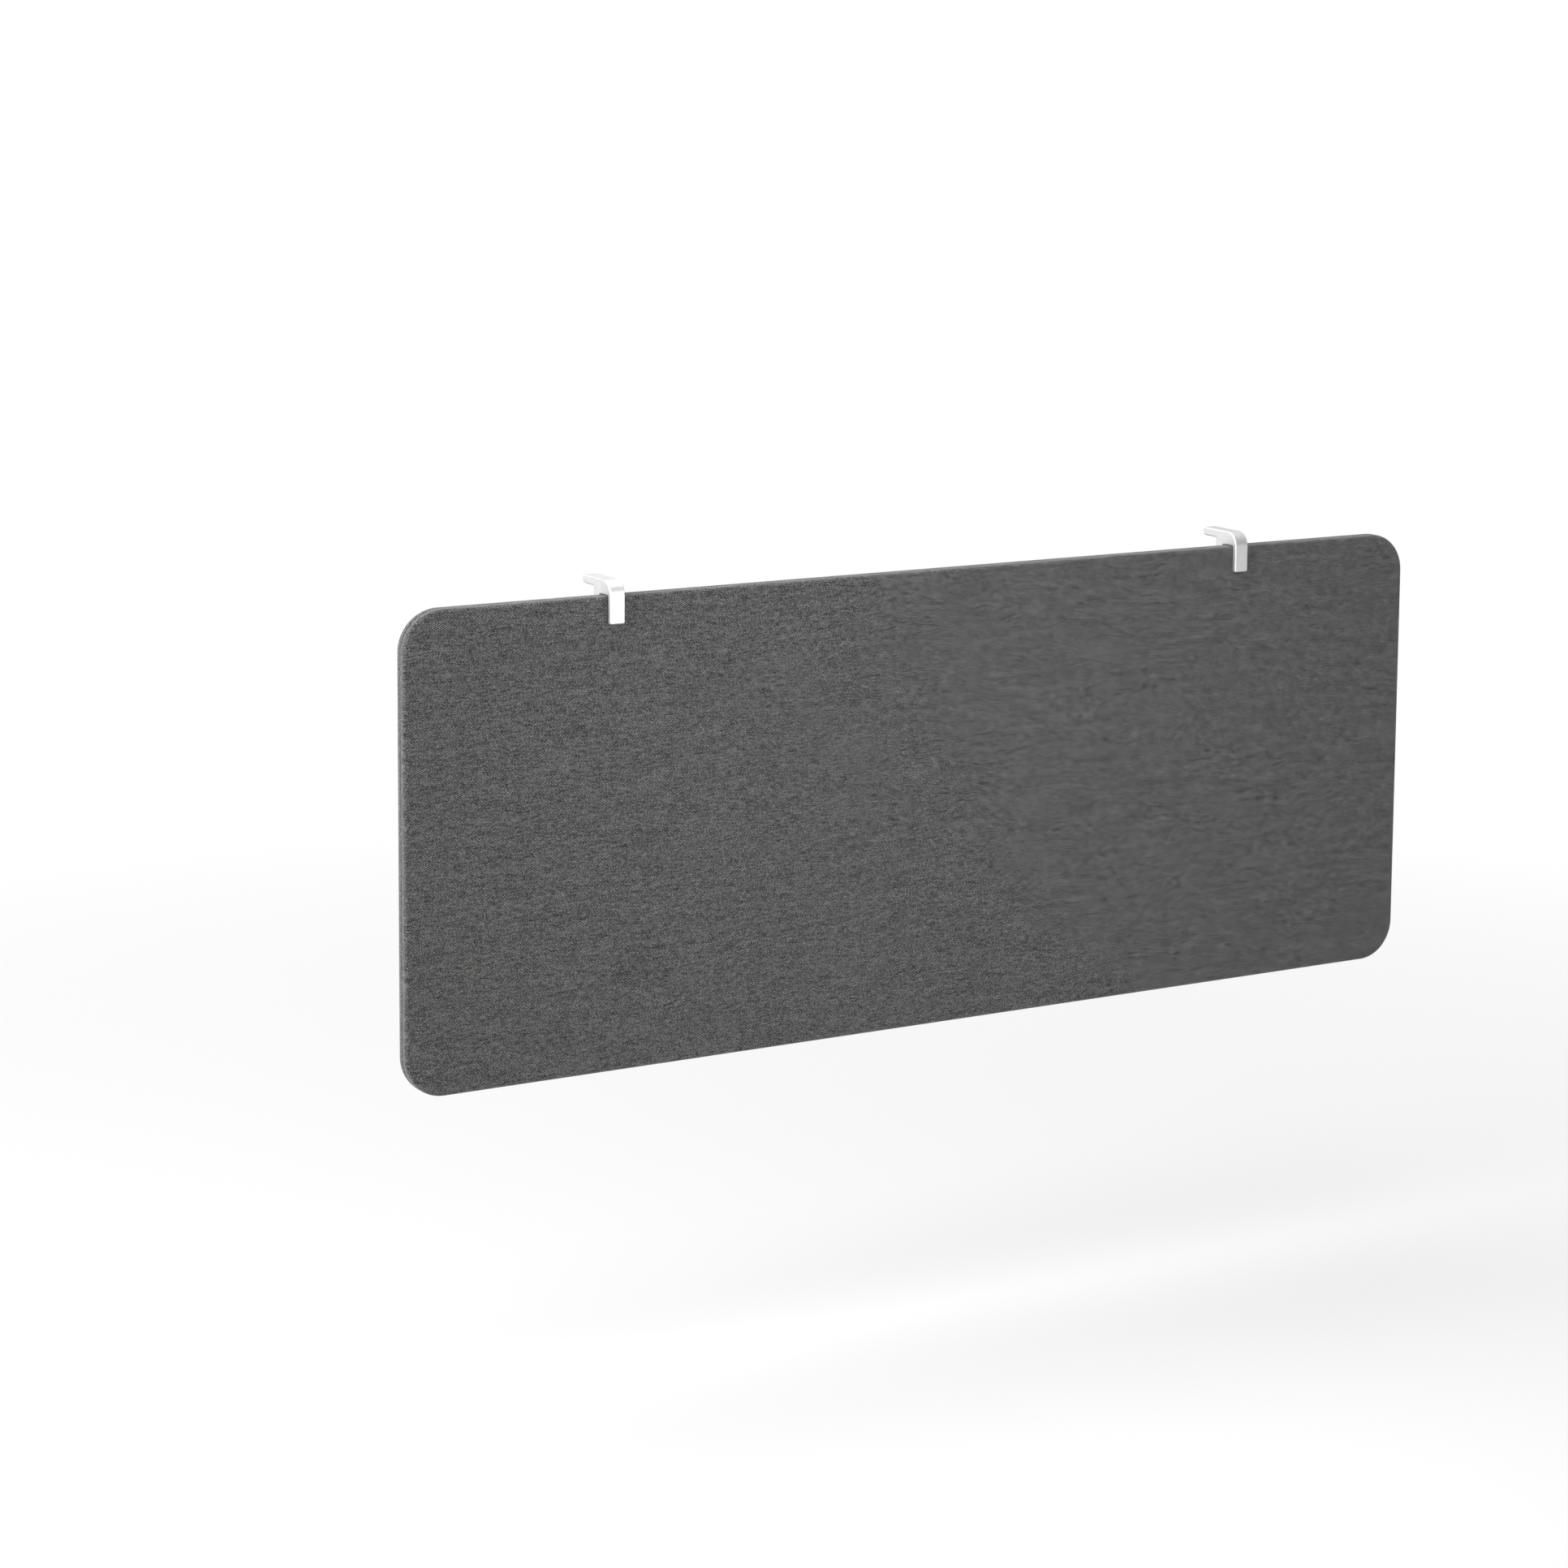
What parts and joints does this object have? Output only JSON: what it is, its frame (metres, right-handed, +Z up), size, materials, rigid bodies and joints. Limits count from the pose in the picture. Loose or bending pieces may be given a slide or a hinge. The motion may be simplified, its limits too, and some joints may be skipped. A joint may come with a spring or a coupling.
{
  "type": "desk privacy panel",
  "caption": "Fabric-covered moulded privacy panel with rounded corners, hung in front of a desk edge by clamp brackets that slide along its top and grip the desktop with a screw.",
  "frame": {"origin": "middle of the panel's length, on the plane of the desk's front edge, at the height of the desktop's surface", "axes": "+X along the panel, to the right as seen from its front; -Y towards the panel's front; +Z up"},
  "size_m": [1.11, 0.0727, 0.4538],
  "materials": {
    "cover_fabric": "matte",
    "moulded_felt": "matte",
    "honeycomb_board": "matte",
    "rail_wood": "matte",
    "bracket_aluminium": "satin",
    "black_rubber": "matte",
    "zinc_steel": "satin",
    "black_steel": "satin",
    "foot_plastic": "satin",
    "knob_plastic": "satin"
  },
  "bodies": {
    "panel": {"front_fabric": "cover_fabric", "rear_fabric": "cover_fabric", "front_shell": "moulded_felt", "rear_shell": "moulded_felt", "core_board": "honeycomb_board", "top_rail": "rail_wood", "bottom_rail": "rail_wood", "left_rail": "rail_wood", "right_rail": "rail_wood"},
    "left_bracket": {"left_bracket": "bracket_aluminium", "left_arm_pad": "black_rubber", "left_slot_pad": "black_rubber", "left_grip_plate": "zinc_steel", "left_grub_screws": "black_steel"},
    "left_foot": {"left_foot": "foot_plastic", "left_foot_pad": "black_rubber"},
    "left_screw": {"left_clamp_screw": "zinc_steel", "left_clamp_knob": "knob_plastic"},
    "right_bracket": {"right_bracket": "bracket_aluminium", "right_arm_pad": "black_rubber", "right_slot_pad": "black_rubber", "right_grip_plate": "zinc_steel", "right_grub_screws": "black_steel"},
    "right_foot": {"right_foot": "foot_plastic", "right_foot_pad": "black_rubber"},
    "right_screw": {"right_clamp_screw": "zinc_steel", "right_clamp_knob": "knob_plastic"}
  },
  "joints": [
    {"name": "left_bracket_slide", "type": "slide", "parent": "panel", "child": "left_bracket", "axis": [1, 0, 0], "range_m": [-0.155, 0.295]},
    {"name": "left_foot_travel", "type": "slide", "parent": "left_bracket", "child": "left_foot", "axis": [0, 0, 1], "range_m": [-0.007, 0.007]},
    {"name": "left_screw_turn", "type": "hinge", "parent": "left_foot", "child": "left_screw", "pos_m": [-0.3475, 0.024, -0.0312], "axis": [0, 0, 1], "range_deg": [-2017, 2017]},
    {"name": "right_bracket_slide", "type": "slide", "parent": "panel", "child": "right_bracket", "axis": [1, 0, 0], "range_m": [-0.295, 0.155]},
    {"name": "right_foot_travel", "type": "slide", "parent": "right_bracket", "child": "right_foot", "axis": [0, 0, 1], "range_m": [-0.007, 0.007]},
    {"name": "right_screw_turn", "type": "hinge", "parent": "right_foot", "child": "right_screw", "pos_m": [0.3475, 0.024, -0.0312], "axis": [0, 0, 1], "range_deg": [-2017, 2017]}
  ],
  "couplings": [
    {"joint": "left_screw_turn", "follows": "left_foot_travel", "rad_per_m": 5026.5},
    {"joint": "right_screw_turn", "follows": "right_foot_travel", "rad_per_m": 5026.5}
  ]
}
